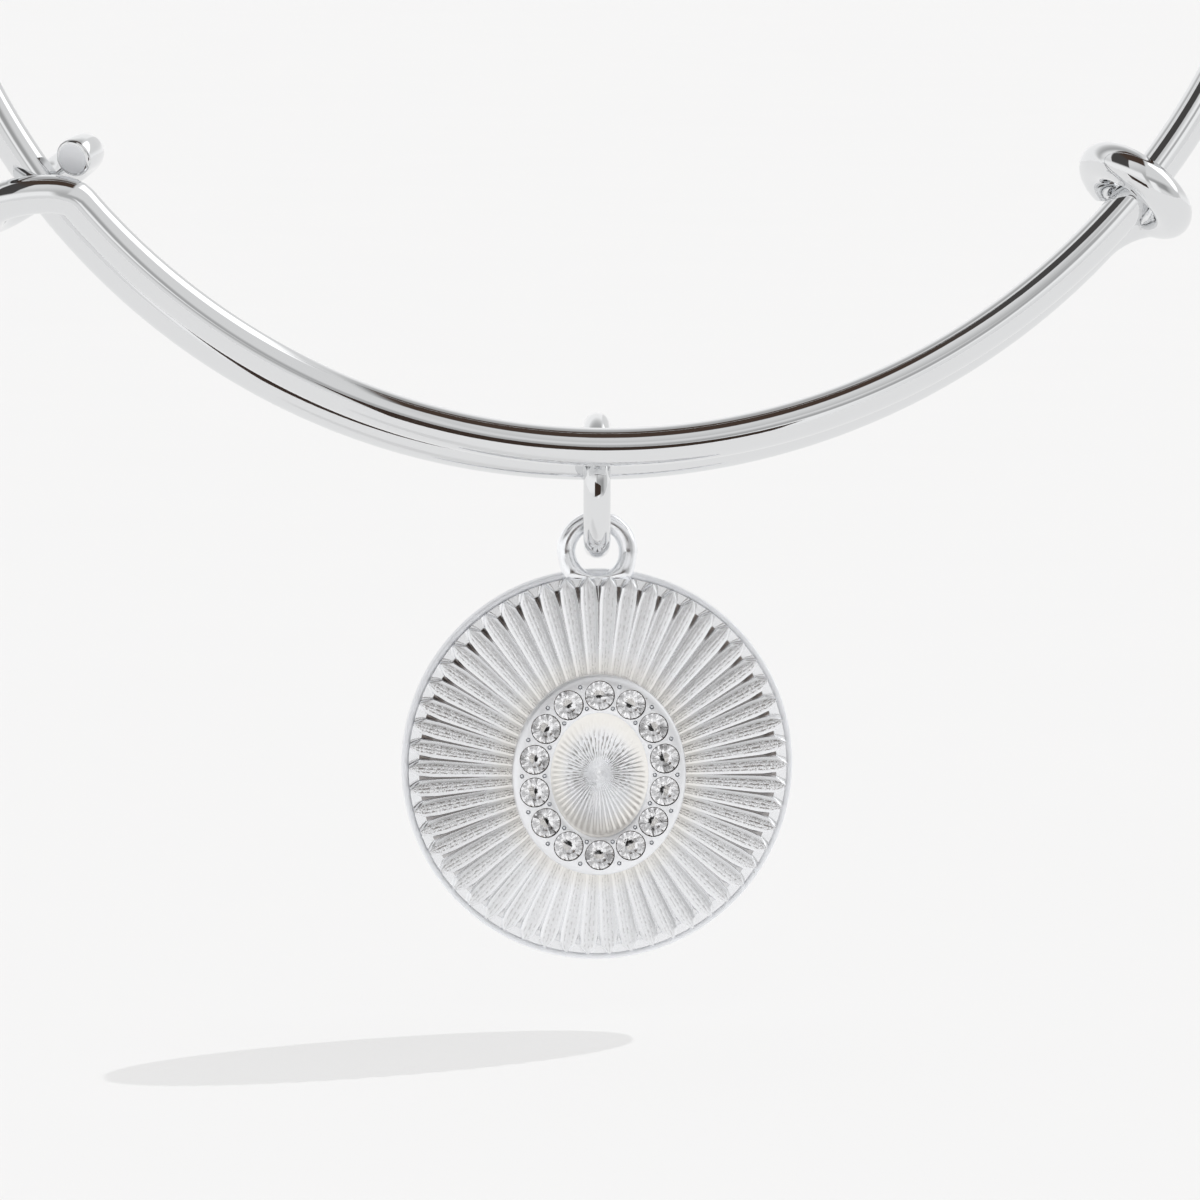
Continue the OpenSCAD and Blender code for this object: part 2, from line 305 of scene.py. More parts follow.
def run_point(u):
    """The centre of the wire on its round run."""
    away = 0.5 - ease(crossing(u))
    y = -cos_deg(180 * crossing(u)) * COIL_R / 2 - lens(u) + lens(u - 360)
    centre_z = -BANGLE_INNER_D / 2 + LAP_DROP * away
    return Vector((RUN_R * sin_deg(u) + LAP_SHIFT * away, y, centre_z - RUN_R * cos_deg(u)))


def coil_axes(u):
    """At an angle from the bottom: the way out of the bangle, along the run, and to the front."""
    out = Vector((sin_deg(u), 0, -cos_deg(u)))
    along = Vector((cos_deg(u), 0, sin_deg(u))) * (1 if u > 0 else -1)
    return out, along, Vector((0, -1, 0))


def left_coil(a):
    """The left coil, which turns about the rear run."""
    out, along, front = coil_axes(-LEFT_COIL_ANGLE)
    hub = run_point(360 - LEFT_COIL_ANGLE) + out * LEFT_OUT - front * LEFT_BACK
    turned = out * sin_deg(a) + front * cos_deg(a)
    climbed = LEFT_LEAN * cos_deg(a) - LEFT_PITCH * (a - STILL_ANGLE) / 360
    return hub + turned * LEFT_COIL_R + along * climbed


def right_coil(a):
    """The right coil, which turns about the front run."""
    out, along, front = coil_axes(RIGHT_COIL_ANGLE)
    hub = run_point(RIGHT_COIL_ANGLE) - out * RIGHT_IN
    turned = out * sin_deg(a) - front * cos_deg(a)
    return hub + turned * COIL_R - along * (RIGHT_LEAN * cos_deg(a))


def bend(start, end, start_way, end_way, reach, steps=14):
    """Points of the bend that joins a run and a coil."""
    first = start + start_way.normalized() * reach
    second = end - end_way.normalized() * reach
    shares = [i / steps for i in range(1, steps)]
    return [
        start * (1 - s) ** 3 + first * (3 * (1 - s) ** 2 * s) + second * (3 * (1 - s) * s * s) + end * s ** 3
        for s in shares
    ]


def spread(start, end, step):
    """Evenly spaced values from start to end, about a step apart."""
    count = math.ceil(abs(end - start) / step)
    return [mix(start, end, i / count) for i in range(count + 1)]


def wire_path():
    """The wire's centreline in millimetres, from the left coil's cut end to the right coil's."""
    degrees = 180 / math.pi / RUN_R
    run_start = -LEFT_COIL_ANGLE + (LEFT_BEND_LEN + LAP_DROP * sin_deg(LEFT_COIL_ANGLE)) * degrees
    run_end = 360 + RIGHT_COIL_ANGLE - (RIGHT_BEND_LEN - LAP_DROP * sin_deg(RIGHT_COIL_ANGLE)) * degrees
    points = [left_coil(a) for a in spread(LEFT_TURN, LEFT_JOIN, 5)]
    points += bend(
        left_coil(LEFT_JOIN),
        run_point(run_start),
        left_coil(LEFT_JOIN - 1) - left_coil(LEFT_JOIN),
        run_point(run_start + 1) - run_point(run_start),
        0.45 * LEFT_BEND_LEN + 0.3,
    )
    points += [run_point(u) for u in spread(run_start, run_end, 1)]
    points += bend(
        run_point(run_end),
        right_coil(RIGHT_JOIN),
        run_point(run_end) - run_point(run_end - 1),
        right_coil(RIGHT_JOIN + 1) - right_coil(RIGHT_JOIN),
        0.4 * RIGHT_BEND_LEN,
    )
    return points + [right_coil(a) for a in spread(RIGHT_JOIN, RIGHT_TURN, 5)]


def round_ends(points, radius, end_round):
    """Adds the cut ends' round-overs to a path, and gives each point the section's radius there."""
    start_way = (points[0] - points[1]).normalized()
    end_way = (points[-1] - points[-2]).normalized()
    before, after = [], []
    for step in range(1, 7):
        turn = math.radians(15 * step)
        size = radius - end_round * (1 - math.cos(turn))
        before.insert(0, (points[0] + start_way * (end_round * math.sin(turn)), size))
        after.append((points[-1] + end_way * (end_round * math.sin(turn)), size))
    flat = radius - end_round * 1.12
    before.insert(0, (before[0][0] + start_way * 0.001, flat))
    after.append((after[-1][0] + end_way * 0.001, flat))
    ring = before + [(p, radius) for p in points] + after
    return [p for p, size in ring], [size for p, size in ring]


# Shader node groups that several finishes use


def new_group(name, inputs, outputs):
    """A shader node group with named inputs and outputs, and its two end nodes."""
    tree = bpy.data.node_groups.new(name, "ShaderNodeTree")
    for label, (kind, value) in inputs.items():
        socket = tree.interface.new_socket(label, in_out="INPUT", socket_type=kind)
        if value is not None:
            socket.default_value = value
    for label, kind in outputs.items():
        tree.interface.new_socket(label, in_out="OUTPUT", socket_type=kind)
    return tree, tree.nodes.new("NodeGroupInput").outputs, tree.nodes.new("NodeGroupOutput").inputs


def make_plating_marks():
    """Fine marks of plated metal: waves of the casting, hairlines and tiny pits."""
    inputs = {
        "Vector": ("NodeSocketVector", None),
        "Wave Scale": ("NodeSocketFloat", 600.0),
        "Hairline Scale": ("NodeSocketFloat", 9000.0),
        "Pit Scale": ("NodeSocketFloat", 2500.0),
    }
    outputs = {"Waves": "NodeSocketFloat", "Hairlines": "NodeSocketFloat", "Pits": "NodeSocketFloat"}
    tree, given, result = new_group("plating_marks", inputs, outputs)
    pits = add_node(tree, "ShaderNodeTexVoronoi", {"Vector": given[0], "Scale": given[3]})
    deep = ramp(tree, pits.outputs["Distance"], 0.04, 0.12, 1.0, 0.0)
    rare = add_node(tree, "ShaderNodeSeparateColor", {0: pits.outputs["Color"]})
    kept = ramp(tree, rare.outputs[0], 0.93, 0.95)
    tree.links.new(noise(tree, given[0], given[1], 1.0), result[0])
    tree.links.new(noise(tree, given[0], given[2], 3.0), result[1])
    tree.links.new(times(tree, deep, kept), result[2])
    return tree


def new_material(name):
    """A material with its Principled BSDF."""
    material = bpy.data.materials.new(name)
    material.use_nodes = True
    return material, material.node_tree, material.node_tree.nodes["Principled BSDF"]


def attribute(tree, name, kind="Vector"):
    """A named attribute of the piece."""
    return add_node(tree, "ShaderNodeAttribute", attribute_name=name).outputs[kind]


def own_place(tree):
    """Where a point is on the piece."""
    return add_node(tree, "ShaderNodeTexCoord").outputs["Object"]


def noise(tree, vector, scale, detail):
    """The value of a noise texture."""
    inputs = {"Vector": vector, "Scale": scale, "Detail": detail}
    return add_node(tree, "ShaderNodeTexNoise", inputs).outputs[0]


def scaled(tree, vector, scale):
    """A vector with its axes scaled one by one."""
    inputs = {0: vector, 1: scale}
    return add_node(tree, "ShaderNodeVectorMath", inputs, operation="MULTIPLY").outputs[0]


def place_marks(tree, group, vector, waves, hairlines, pits):
    """The plating marks on one finish, with their sizes."""
    inputs = {0: vector, 1: waves, 2: hairlines, 3: pits}
    return add_node(tree, "ShaderNodeGroup", inputs, node_tree=group).outputs


def bumps(tree, *layers):
    """A chain of bumps, each a height, a depth in metres and a strength."""
    normal = None
    for height, depth, strength in layers:
        inputs = {"Height": height, "Distance": depth, "Strength": strength}
        if normal is not None:
            inputs["Normal"] = normal
        normal = add_node(tree, "ShaderNodeBump", inputs).outputs[0]
    return normal


def plate(tree, shader, colour, roughness, *layers):
    """Makes a shader a metal of this colour and roughness, with its bumps in layers."""
    inputs = {"Metallic": 1.0, "Base Color": colour, "Roughness": roughness}
    if layers:
        inputs["Normal"] = bumps(tree, *layers)
    fill(tree, shader, inputs)


def burst_place(tree):
    """On the sunburst: the map, the place along a ray, and how much the ray points up, from 1 to -1."""
    burst = attribute(tree, "burst_map")
    turn, away = split(tree, burst)[:2]
    return burst, away, calc(tree, "COSINE", times(tree, turn, 2 * math.pi / RIB_COUNT))


# Colours
SILVER = (0.775, 0.782, 0.79, 1.0)
SILVER_DULL = (0.60, 0.59, 0.575, 1.0)
SILVER_DARK = (0.14, 0.12, 0.105, 1.0)
SILVER_BRIGHT = (0.95, 0.96, 0.98, 1.0)
SILVER_PALE = (0.925, 0.933, 0.95, 1.0)
SILVER_CREAM = (0.96, 0.93, 0.87, 1.0)
# Painted shade in the sunburst's pits and grooves
PAINTED_PIT_SHADE = (0.10, 0.075, 0.062, 1.0)
# Painted shadow on the stones' seat walls
SEAT_SHADE_DARK = (0.10, 0.065, 0.045, 1.0)
SEAT_SHADE_BROWN = (0.24, 0.17, 0.12, 1.0)
GLASS = (0.99, 0.99, 1.0, 1.0)
GLASS_INDEX = 1.32
# Painted shade on the foil's darker facets
FOIL_SHADE = (0.03, 0.022, 0.018, 1.0)
FOIL = (0.96, 0.96, 0.96, 1.0)
FOIL_BRIGHT = (1.0, 1.0, 1.0, 1.0)
PAPER = (0.80, 0.80, 0.80, 1.0)
PAPER_PALE = (0.806, 0.806, 0.806, 1.0)
CARD_BROWN = (0.05, 0.034, 0.027, 1.0)


def make_drawn_silver(marks, name, wave_depth):
    """Bright plating on drawn wire, with hairlines along it and dull cut ends."""
    material, tree, shader = new_material(name)
    map_along = scaled(tree, attribute(tree, "wire_map"), (0.12, WIRE_R * MM, WIRE_R * MM))
    seen = place_marks(tree, marks, map_along, 900.0, 7000.0, 1500.0)
    cut = attribute(tree, "cut", "Fac")
    colour = blend_colour(tree, seen["Pits"], SILVER, SILVER_DULL)
    colour = blend_colour(tree, cut, colour, SILVER_BRIGHT)
    polish = ramp(tree, seen["Hairlines"], 0.3, 0.8, 0.03, 0.075)
    polish = calc(tree, "MULTIPLY_ADD", cut, 0.55, polish)
    layers = (seen["Waves"], wave_depth, 0.25), (seen["Hairlines"], 0.000002, 0.3)
    plate(tree, shader, colour, polish, *layers)
    return material


def make_cast_silver(marks, name, plating, smooth, rough):
    """Plating on the charm's cast metal, from its smoothest to its roughest."""
    material, tree, shader = new_material(name)
    seen = place_marks(tree, marks, own_place(tree), 700.0, 5000.0, 1800.0)
    colour = blend_colour(tree, seen["Pits"], plating, SILVER_DULL)
    polish = ramp(tree, seen["Hairlines"], 0.3, 0.8, smooth, rough)
    layers = (seen["Waves"], 0.00004, 0.3), (seen["Hairlines"], 0.000003, 0.3)
    plate(tree, shader, colour, polish, *layers)
    return material


def make_ray_silver(marks):
    """Plating on the sunburst: smooth shoulders, rough crests with rows of fine file marks, and painted shade
    in the pits and grooves.
    """
    material, tree, shader = new_material("ray_silver")
    row, rough, pit = split(tree, attribute(tree, "zone"))
    burst, away, above = burst_place(tree)
    # How much a ray lies level
    level = calc(tree, "SUBTRACT", 1.0, calc(tree, "ABSOLUTE", above))
    level = ramp(tree, level, 0.1, 0.75)
    seen = place_marks(tree, marks, own_place(tree), 900.0, 6000.0, 2200.0)
    dashes = noise(tree, scaled(tree, burst, (9.0, 24.0, 0.0)), 1.0, 2.0)
    dash = times(tree, ramp(tree, dashes, 0.48, 0.56), row)
    grit = noise(tree, scaled(tree, burst, (26.0, 60.0, 0.0)), 1.0, 3.0)
    speck = times(tree, ramp(tree, grit, 0.46, 0.66), rough)
    foot = ramp(tree, away, 2.3, 2.04)
    cream = blend_colour(tree, times(tree, foot, 0.6), SILVER_PALE, SILVER_CREAM)
    # The specks and file marks are real; making them darker on the level rays, left and right, is painted
    # shade.
    speck_and_shade_share = calc(tree, "MULTIPLY_ADD", level, 0.9, 0.1)
    specked = blend_colour(tree, times(tree, speck, speck_and_shade_share), cream, SILVER_DARK)
    dash_and_shade_share = calc(tree, "MULTIPLY_ADD", level, 0.72, 0.32)
    marked = blend_colour(tree, times(tree, dash, dash_and_shade_share), specked, SILVER_DARK)
    # Painted shade: the pits between the ribs' ends are darkened towards brown except where the rays point
    # down, and so are the grooves of the level rays.
    deep = ramp(tree, away, PIT_PLACE - 0.05, PIT_PLACE + 0.06)
    pit_shade_share = times(tree, deep, ramp(tree, above, -0.55, 0.15, 0.1, 0.95))
    groove_shade_share = calc(tree, "MULTIPLY_ADD", level, 0.7, 0.04)
    groove_shade_share = times(tree, groove_shade_share, ramp(tree, away, 2.15, 2.5))
    share = times(tree, calc(tree, "MAXIMUM", pit_shade_share, groove_shade_share), pit)
    colour = blend_colour(tree, share, marked, PAINTED_PIT_SHADE)
    soft = calc(tree, "MULTIPLY_ADD", rough, 0.12, 0.27)
    soft = calc(tree, "MULTIPLY_ADD", foot, 0.15, soft)
    layers = (seen["Waves"], 0.00002, 0.3), (times(tree, grit, rough), 0.00003, 0.6)
    plate(tree, shader, colour, soft, *layers)
    return material


def make_bowl_silver(marks):
    """Plating in the bowl: creamy edges, dark file marks part of the way in, partly painted shade, and a
    rough bright middle.
    """
    material, tree, shader = new_material("bowl_silver")
    burst, away, above = burst_place(tree)
    place = own_place(tree)
    seen = place_marks(tree, marks, place, 900.0, 6000.0, 2200.0)
    dashes = noise(tree, scaled(tree, burst, (2.0, 9.0, 0.0)), 1.0, 2.0)
    valley = split(tree, attribute(tree, "zone"))[0]
    # The file marks are real; keeping them in the valleys of the fine rays and fading them towards the bottom
    # is painted shade.
    marked = times(
        tree,
        ramp(tree, away, 0.22, 0.34),
        ramp(tree, away, 0.8, 0.6),
        ramp(tree, above, -0.75, -0.3, 0.15, 1.0),
        ramp(tree, valley, 0.35, 0.8),
    )
    dash = times(tree, ramp(tree, dashes, 0.44, 0.56), marked)
    edge = ramp(tree, away, 0.6, 0.9)
    cream = blend_colour(tree, times(tree, edge, 0.7), SILVER_BRIGHT, SILVER_CREAM)
    colour = blend_colour(tree, times(tree, dash, 0.7), cream, SILVER_DARK)
    grit = times(tree, noise(tree, place, 6000.0, 2.0), ramp(tree, away, 0.3, 0.8, 1.0, 0.2))
    layers = (seen["Waves"], 0.00002, 0.3), (grit, 0.00004, 0.7)
    plate(tree, shader, colour, 0.36, *layers)
    return material


def make_seat_painted_shadow():
    """Painted shadow on the seats' walls round the stones: patchy dark brown."""
    material, tree, shader = new_material("seat_painted_shadow")
    shadow_patchiness = noise(tree, own_place(tree), 2500.0, 2.0)
    plate(tree, shader, blend_colour(tree, shadow_patchiness, SEAT_SHADE_DARK, SEAT_SHADE_BROWN), 0.35)
    return material


def make_crystal(marks):
    """Clear cut glass with a trace of polish marks."""
    material, tree, shader = new_material("crystal")
    seen = place_marks(tree, marks, own_place(tree), 400.0, 9000.0, 3000.0)
    polish = ramp(tree, seen["Hairlines"], 0.4, 0.9, 0.0, 0.02)
    inputs = {"Base Color": GLASS, "Transmission Weight": 1.0, "IOR": GLASS_INDEX, "Roughness": polish}
    fill(tree, shader, inputs)
    return material


def make_foil(marks):
    """Mirror foil behind each stone, with some facets darkened as painted shade."""
    material, tree, shader = new_material("foil")
    seen = place_marks(tree, marks, own_place(tree), 800.0, 7000.0, 3000.0)
    bright = blend_colour(tree, seen["Waves"], FOIL, FOIL_BRIGHT)
    colour = blend_colour(tree, attribute(tree, "facet_shade", "Fac"), FOIL_SHADE, bright)
    plate(tree, shader, colour, 0.18)
    return material


def make_paper():
    """Plain pale paper for the floor."""
    material, tree, shader = new_material("paper")
    colour = blend_colour(tree, noise(tree, own_place(tree), 40.0, 1.0), PAPER, PAPER_PALE)
    fill(tree, shader, {"Base Color": colour, "Roughness": 1.0, "Specular IOR Level": 0.0})
    return material


# The wire and the jump ring are swept sections


def make_sweep_tree():
    """Sweeps a round section along a path whose points carry the section's radius."""
    sockets = {"Sides": "NodeSocketInt", "Material": "NodeSocketMaterial"}
    tree, given, result = new_tree("swept_wire", sockets)
    path = add_node(tree, "GeometryNodeMeshToCurve", {0: given.outputs["Geometry"]})
    sides = {"Resolution": given.outputs["Sides"], "Radius": 1.0}
    circle = add_node(tree, "GeometryNodeCurvePrimitiveCircle", sides, mode="RADIUS")
    turn = add_node(tree, "GeometryNodeSplineParameter").outputs["Factor"]
    section = store(tree, circle.outputs[0], "around", turn, "FLOAT")
    size = add_node(tree, "GeometryNodeInputNamedAttribute", {0: "section"}, data_type="FLOAT")
    sweep = {0: path.outputs[0], 1: section, "Scale": size.outputs[0], "Fill Caps": True}
    body = add_node(tree, "GeometryNodeCurveToMesh", sweep)
    along = add_node(tree, "GeometryNodeInputNamedAttribute", {0: "along"}, data_type="FLOAT")
    around = add_node(tree, "GeometryNodeInputNamedAttribute", {0: "around"}, data_type="FLOAT")
    angle = times(tree, around.outputs[0], 2 * math.pi)
    across = calc(tree, "COSINE", angle), calc(tree, "SINE", angle)
    parts = {0: along.outputs[0], 1: across[0], 2: across[1]}
    place = add_node(tree, "ShaderNodeCombineXYZ", parts).outputs[0]
    close_tree(tree, store(tree, body.outputs[0], "wire_map", place, "FLOAT_VECTOR"), given, result)
    return tree


def path_mesh(name, points, radii, closed=False):
    """A line of edges in metres whose points carry the section's radius and the length so far."""
    mesh = bpy.data.meshes.new(name)
    edges = [(i, i + 1) for i in range(len(points) - 1)]
    if closed:
        edges.append((len(points) - 1, 0))
    mesh.from_pydata([p * MM for p in points], edges, [])
    lengths = [0.0]
    for before, after in zip(points, points[1:]):
        lengths.append(lengths[-1] + (after - before).length * MM)
    mesh.attributes.new("section", "FLOAT", "POINT").data.foreach_set("value", [r * MM for r in radii])
    mesh.attributes.new("along", "FLOAT", "POINT").data.foreach_set("value", lengths)
    cut = [0.0] * len(points)
    if not closed:
        cut[0] = cut[-1] = 1.0
    mesh.attributes.new("cut", "FLOAT", "POINT").data.foreach_set("value", cut)
    return mesh


def make_wire(tree, material):
    """The bangle's wire with its two coils and cut ends."""
    points, radii = round_ends(wire_path(), WIRE_R * POLISH, END_ROUND)
    base = path_mesh("wire_line", points, radii)
    wire = run_tree("wire_polished", base, tree, {"Sides": WIRE_SIDES, "Material": material})
    face_outwards(wire.data)
    wire.visible_shadow = False
    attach(wire, "bangle")
    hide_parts("bangle_wire")


def make_jump_ring(tree, material):
    """The closed jump ring."""
    points = []
    for step in range(RING_STEPS):
        turn = 360 * step / RING_STEPS
        reach = RING_R * sin_deg(turn)
        x, y = HANG_X + reach * sin_deg(RING_TURN), LAP_Y + reach * cos_deg(RING_TURN)
        points.append(Vector((x, y, RING_Z + RING_R * cos_deg(turn))))
    base = path_mesh("ring_line", points, [RING_WIRE_R * POLISH] * RING_STEPS, closed=True)
    ring = run_tree("ring_polished", base, tree, {"Sides": RING_SIDES, "Material": material})
    face_outwards(ring.data)
    ring.visible_shadow = False
    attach(ring, "ring")
    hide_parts("jump_ring")


# The charm. Its pieces are drawn face up, with X to the right, Y up the face and the height
# measured from the plain back, and then hung in place.


def hang(x, y, height):
    """Where a point of the face-up charm is when the charm hangs, in millimetres."""
    return (HANG_X + x, LAP_Y - (height - DISC_T / 2), DISC_Z + y)


def hang_mesh(name, points, faces, smooth=True):
    """A mesh of the hanging charm from face-up points."""
    return plain_mesh(name, [hang(*p) for p in points], faces, smooth)


def hang_piece(name, points, faces, material, smooth=True):
    """A piece of the hanging charm in one material."""
    mesh = hang_mesh(name, points, faces, smooth)
    mesh.materials.append(material)
    return link_object(name, mesh)


def ring_faces(steps, width):
    """Faces of a closed tube of steps sections, each with width points."""
    faces = []
    for step in range(steps):
        after = (step + 1) % steps
        for side in range(width):
            beside = (side + 1) % width
            low, high = step * width, after * width
            faces.append((low + side, high + side, high + beside, low + beside))
    return faces


def ride_charm(piece):
    """Makes a piece part of the charm."""
    face_outwards(piece.data)
    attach(piece, "charm")
    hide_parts("pendant")


def make_disc(material):
    """The plain disc with its rounded rim and a fine line inside it, widest at the upper left."""
    profile = [(0.0, 0.0), (4.0, 0.0), (8.0, 0.0)]
    for first_turn, middle in ((-90, RIM_ROUND), (0, DISC_T - RIM_ROUND)):
        for step in range(9):
            turn = first_turn + 11.25 * step
            reach = DISC_R - RIM_ROUND + RIM_ROUND * cos_deg(turn)
            profile.append((reach, middle + RIM_ROUND * sin_deg(turn)))
    line = len(profile)
    profile += [(TIP_R + 0.012, DISC_T), (TIP_R + 0.004, 0.94), (TIP_R - 0.05, FACE_FLOOR)]
    profile += [(8.0, FACE_FLOOR), (0.0, FACE_FLOOR)]
    segments = 240
    points = [(0.0, 0.0, 0.0)]
    for row, (reach, height) in enumerate(profile[1:-1], 1):
        for step in range(segments):
            turn = 360 * step / segments
            wider = 0.035 * max(0.0, cos_deg(turn - 320)) if row in (line, line + 1) else 0.0
            points.append(((reach + wider) * sin_deg(turn), (reach + wider) * cos_deg(turn), height))
    points.append((0.0, 0.0, profile[-1][1]))
    rows = len(profile) - 2
    last = len(points) - 1
    faces = []
    for step in range(segments):
        after = (step + 1) % segments
        faces.append((0, 1 + after, 1 + step))
        for row in range(rows - 1):
            low, high = 1 + row * segments, 1 + (row + 1) * segments
            faces.append((low + step, low + after, high + after, high + step))
        top = 1 + (rows - 1) * segments
        faces.append((top + step, top + after, last))
    ride_charm(hang_piece("charm_disc", points, faces, material))


# How far the bail's foot lies below its centre
BAIL_FOOT = 1.42


def bail_outer(turn):
    """The bail's outer reach at a turn from its top: round above, cut off level at the ribs' tips."""
    round_reach = BAIL_HOLE_R + 2 * BAIL_WIRE_R
    if turn <= 90:
        return round_reach
    straight = round_reach / (sin_deg(turn) - 0.2 * cos_deg(turn))
    return min(straight, BAIL_FOOT / -cos_deg(turn))


def make_bail(material):
    """The cast bail: a round eye whose legs run straight down into the face."""
    steps, sides = 144, 36
    points = []
    for step in range(steps):
        turn = 360 * step / steps
        low = min(turn, 360 - turn)
        outer = bail_outer(low)
        middle, half = (BAIL_HOLE_R + outer) / 2, (outer - BAIL_HOLE_R) / 2
        forward = 0.3 * ease((low - 85) / 45)
        for side in range(sides):
            angle = 360 * side / sides
            reach = middle + half * cos_deg(angle)
            height = DISC_T / 2 + forward + BAIL_WIRE_R * sin_deg(angle)
            y = DISC_R + BAIL_RISE + reach * cos_deg(turn)
            points.append((reach * sin_deg(turn), y, height))
    bail = hang_piece("charm_bail", points, ring_faces(steps, sides), material)
    bail.visible_shadow = False
    ride_charm(bail)


def make_burst_tree():
    """Repeats one ray round the burst and lays the rays out between the halo and the rim.

    The base mesh is one ray: X is its share of a turn, Y its place, and Z its height. A place is 0
    at the burst's centre, 1 and 2 at the halo's inner and outer edges, and 3 at the rim.
    """
    sizes = ("Tip Radius", "Burst Drop", "Row Half Width", "Row Half Height", "Row Half")
    sockets = {"Count": "NodeSocketInt"}
    sockets.update({size: "NodeSocketFloat" for size in sizes})
    sockets["Material"] = "NodeSocketMaterial"
    tree, given, result = new_tree("burst_layout", sockets)
    value = given.outputs
    line = add_node(tree, "GeometryNodeMeshLine", {"Count": value["Count"], "Offset": (1.0, 0.0, 0.0)})
    copies = add_node(tree, "GeometryNodeInstanceOnPoints", {0: line.outputs[0], 2: value["Geometry"]})
    real = add_node(tree, "GeometryNodeRealizeInstances", {0: copies.outputs[0]})
    flat = add_node(tree, "GeometryNodeInputPosition").outputs[0]
    mapped = store(tree, real.outputs[0], "burst_map", flat, "FLOAT_VECTOR")
    share, place, height = split(tree, flat)
    turn = calc(tree, "DIVIDE", times(tree, share, 2 * math.pi), value["Count"])
    end_x = times(tree, calc(tree, "SINE", turn), value["Tip Radius"])
    end_y = times(tree, calc(tree, "COSINE", turn), value["Tip Radius"])
    end_y = calc(tree, "ADD", end_y, value["Burst Drop"])
    end = add_node(tree, "ShaderNodeCombineXYZ", {0: end_x, 1: end_y}).outputs[0]
    length = add_node(tree, "ShaderNodeVectorMath", {0: end}, operation="LENGTH").outputs[1]
    way_x = calc(tree, "DIVIDE", end_x, length)
    way_y = calc(tree, "DIVIDE", end_y, length)

    def oval_reach(operation):
        wide = calc(tree, operation, value["Row Half Width"], value["Row Half"])
        tall = calc(tree, operation, value["Row Half Height"], value["Row Half"])
        flat_x = calc(tree, "DIVIDE", way_x, wide)
        flat_y = calc(tree, "DIVIDE", way_y, tall)
        squares = times(tree, flat_y, flat_y)
        return calc(tree, "INVERSE_SQRT", calc(tree, "MULTIPLY_ADD", flat_x, flat_x, squares))

    inner, outer = oval_reach("SUBTRACT"), oval_reach("ADD")
    in_bowl = times(tree, calc(tree, "MINIMUM", place, 1.0), inner)
    under = calc(tree, "SUBTRACT", place, 1.0, clamp=True)
    under_halo = times(tree, under, calc(tree, "SUBTRACT", outer, inner))
    beyond = calc(tree, "MAXIMUM", calc(tree, "SUBTRACT", place, 2.0), 0.0)
    on_rays = times(tree, beyond, calc(tree, "SUBTRACT", length, outer))
    reach = calc(tree, "ADD", calc(tree, "ADD", in_bowl, under_halo), on_rays)
    x = times(tree, calc(tree, "MULTIPLY_ADD", way_x, reach, HANG_X), MM)
    up = calc(tree, "SUBTRACT", times(tree, way_y, reach), value["Burst Drop"])
    z = times(tree, calc(tree, "ADD", up, DISC_Z), MM)
    y = times(tree, calc(tree, "SUBTRACT", LAP_Y + DISC_T / 2, height), MM)
    hung = add_node(tree, "ShaderNodeCombineXYZ", {0: x, 1: y, 2: z}).outputs[0]
    moved = add_node(tree, "GeometryNodeSetPosition", {"Geometry": mapped, "Position": hung})
    closed = add_node(tree, "GeometryNodeMergeByDistance", {0: moved.outputs[0], "Distance": 1e-6})
    close_tree(tree, closed.outputs[0], given, result)
    return tree


def ray_mesh(name, rows):
    """One ray from rows of (place, [(share, height, zone), ...]), all rows with as many points."""
    points, zones, faces = [], [], []
    for place, across in rows:
        for share, height, zone in across:
            points.append((share, place, height))
            zones += zone
    width = len(rows[0][1])
    for row in range(len(rows) - 1):
        for step in range(width - 1):
            low, high = row * width + step, (row + 1) * width + step
            faces.append((low, low + 1, high + 1, high))
    mesh = bpy.data.meshes.new(name)
    mesh.from_pydata(points, [], faces)
    mesh.attributes.new("zone", "FLOAT_VECTOR", "POINT").data.foreach_set("vector", zones)
    return mesh


BURST_SIZES = {
    "Count": RIB_COUNT,
    "Tip Radius": TIP_R,
    "Burst Drop": BURST_DROP,
    "Row Half Width": ROW_RX,
    "Row Half Height": ROW_RZ,
    "Row Half": ROW_HALF,
}


def lay_out(name, rows, tree, material):
    """A piece made of one ray's rows, repeated round the burst."""
    return run_tree(name, ray_mesh(name + "_ray", rows), tree, dict(BURST_SIZES, Material=material))


# Places along a ray: where the grooves start to widen into pits, and the root of the ribs' points
PIT_PLACE = 2.76
ROOT_PLACE = 2.9
RAY_PITCH_HUB = 0.55
RAY_PITCH_RIM = 1.06
# How much painted shade each of half a groove's points takes, from its floor to the rib's edge
GROOVE_SHADE_WEIGHTS = (1.0, 0.9, 0.3, 0.0)
# From a rib's edge to its crest: how far along, how deep a file mark is there, and how rough it is
RIB_STEPS = (
    (0.0, 0.0, 0.0),
    (0.05, 0.0, 0.0),
    (0.14, 0.0, 0.0),
    (0.28, 0.0, 0.1),
    (0.40, 0.0, 0.5),
    (0.46, 0.4, 0.8),
    (0.52, 1.0, 1.0),
    (0.58, 0.4, 0.8),
    (0.64, 0.1, 0.7),
    (0.76, 0.0, 0.7),
    (0.86, 0.1, 0.7),
    (0.93, 0.5, 0.8),
    (1.0, 1.0, 1.0),
)


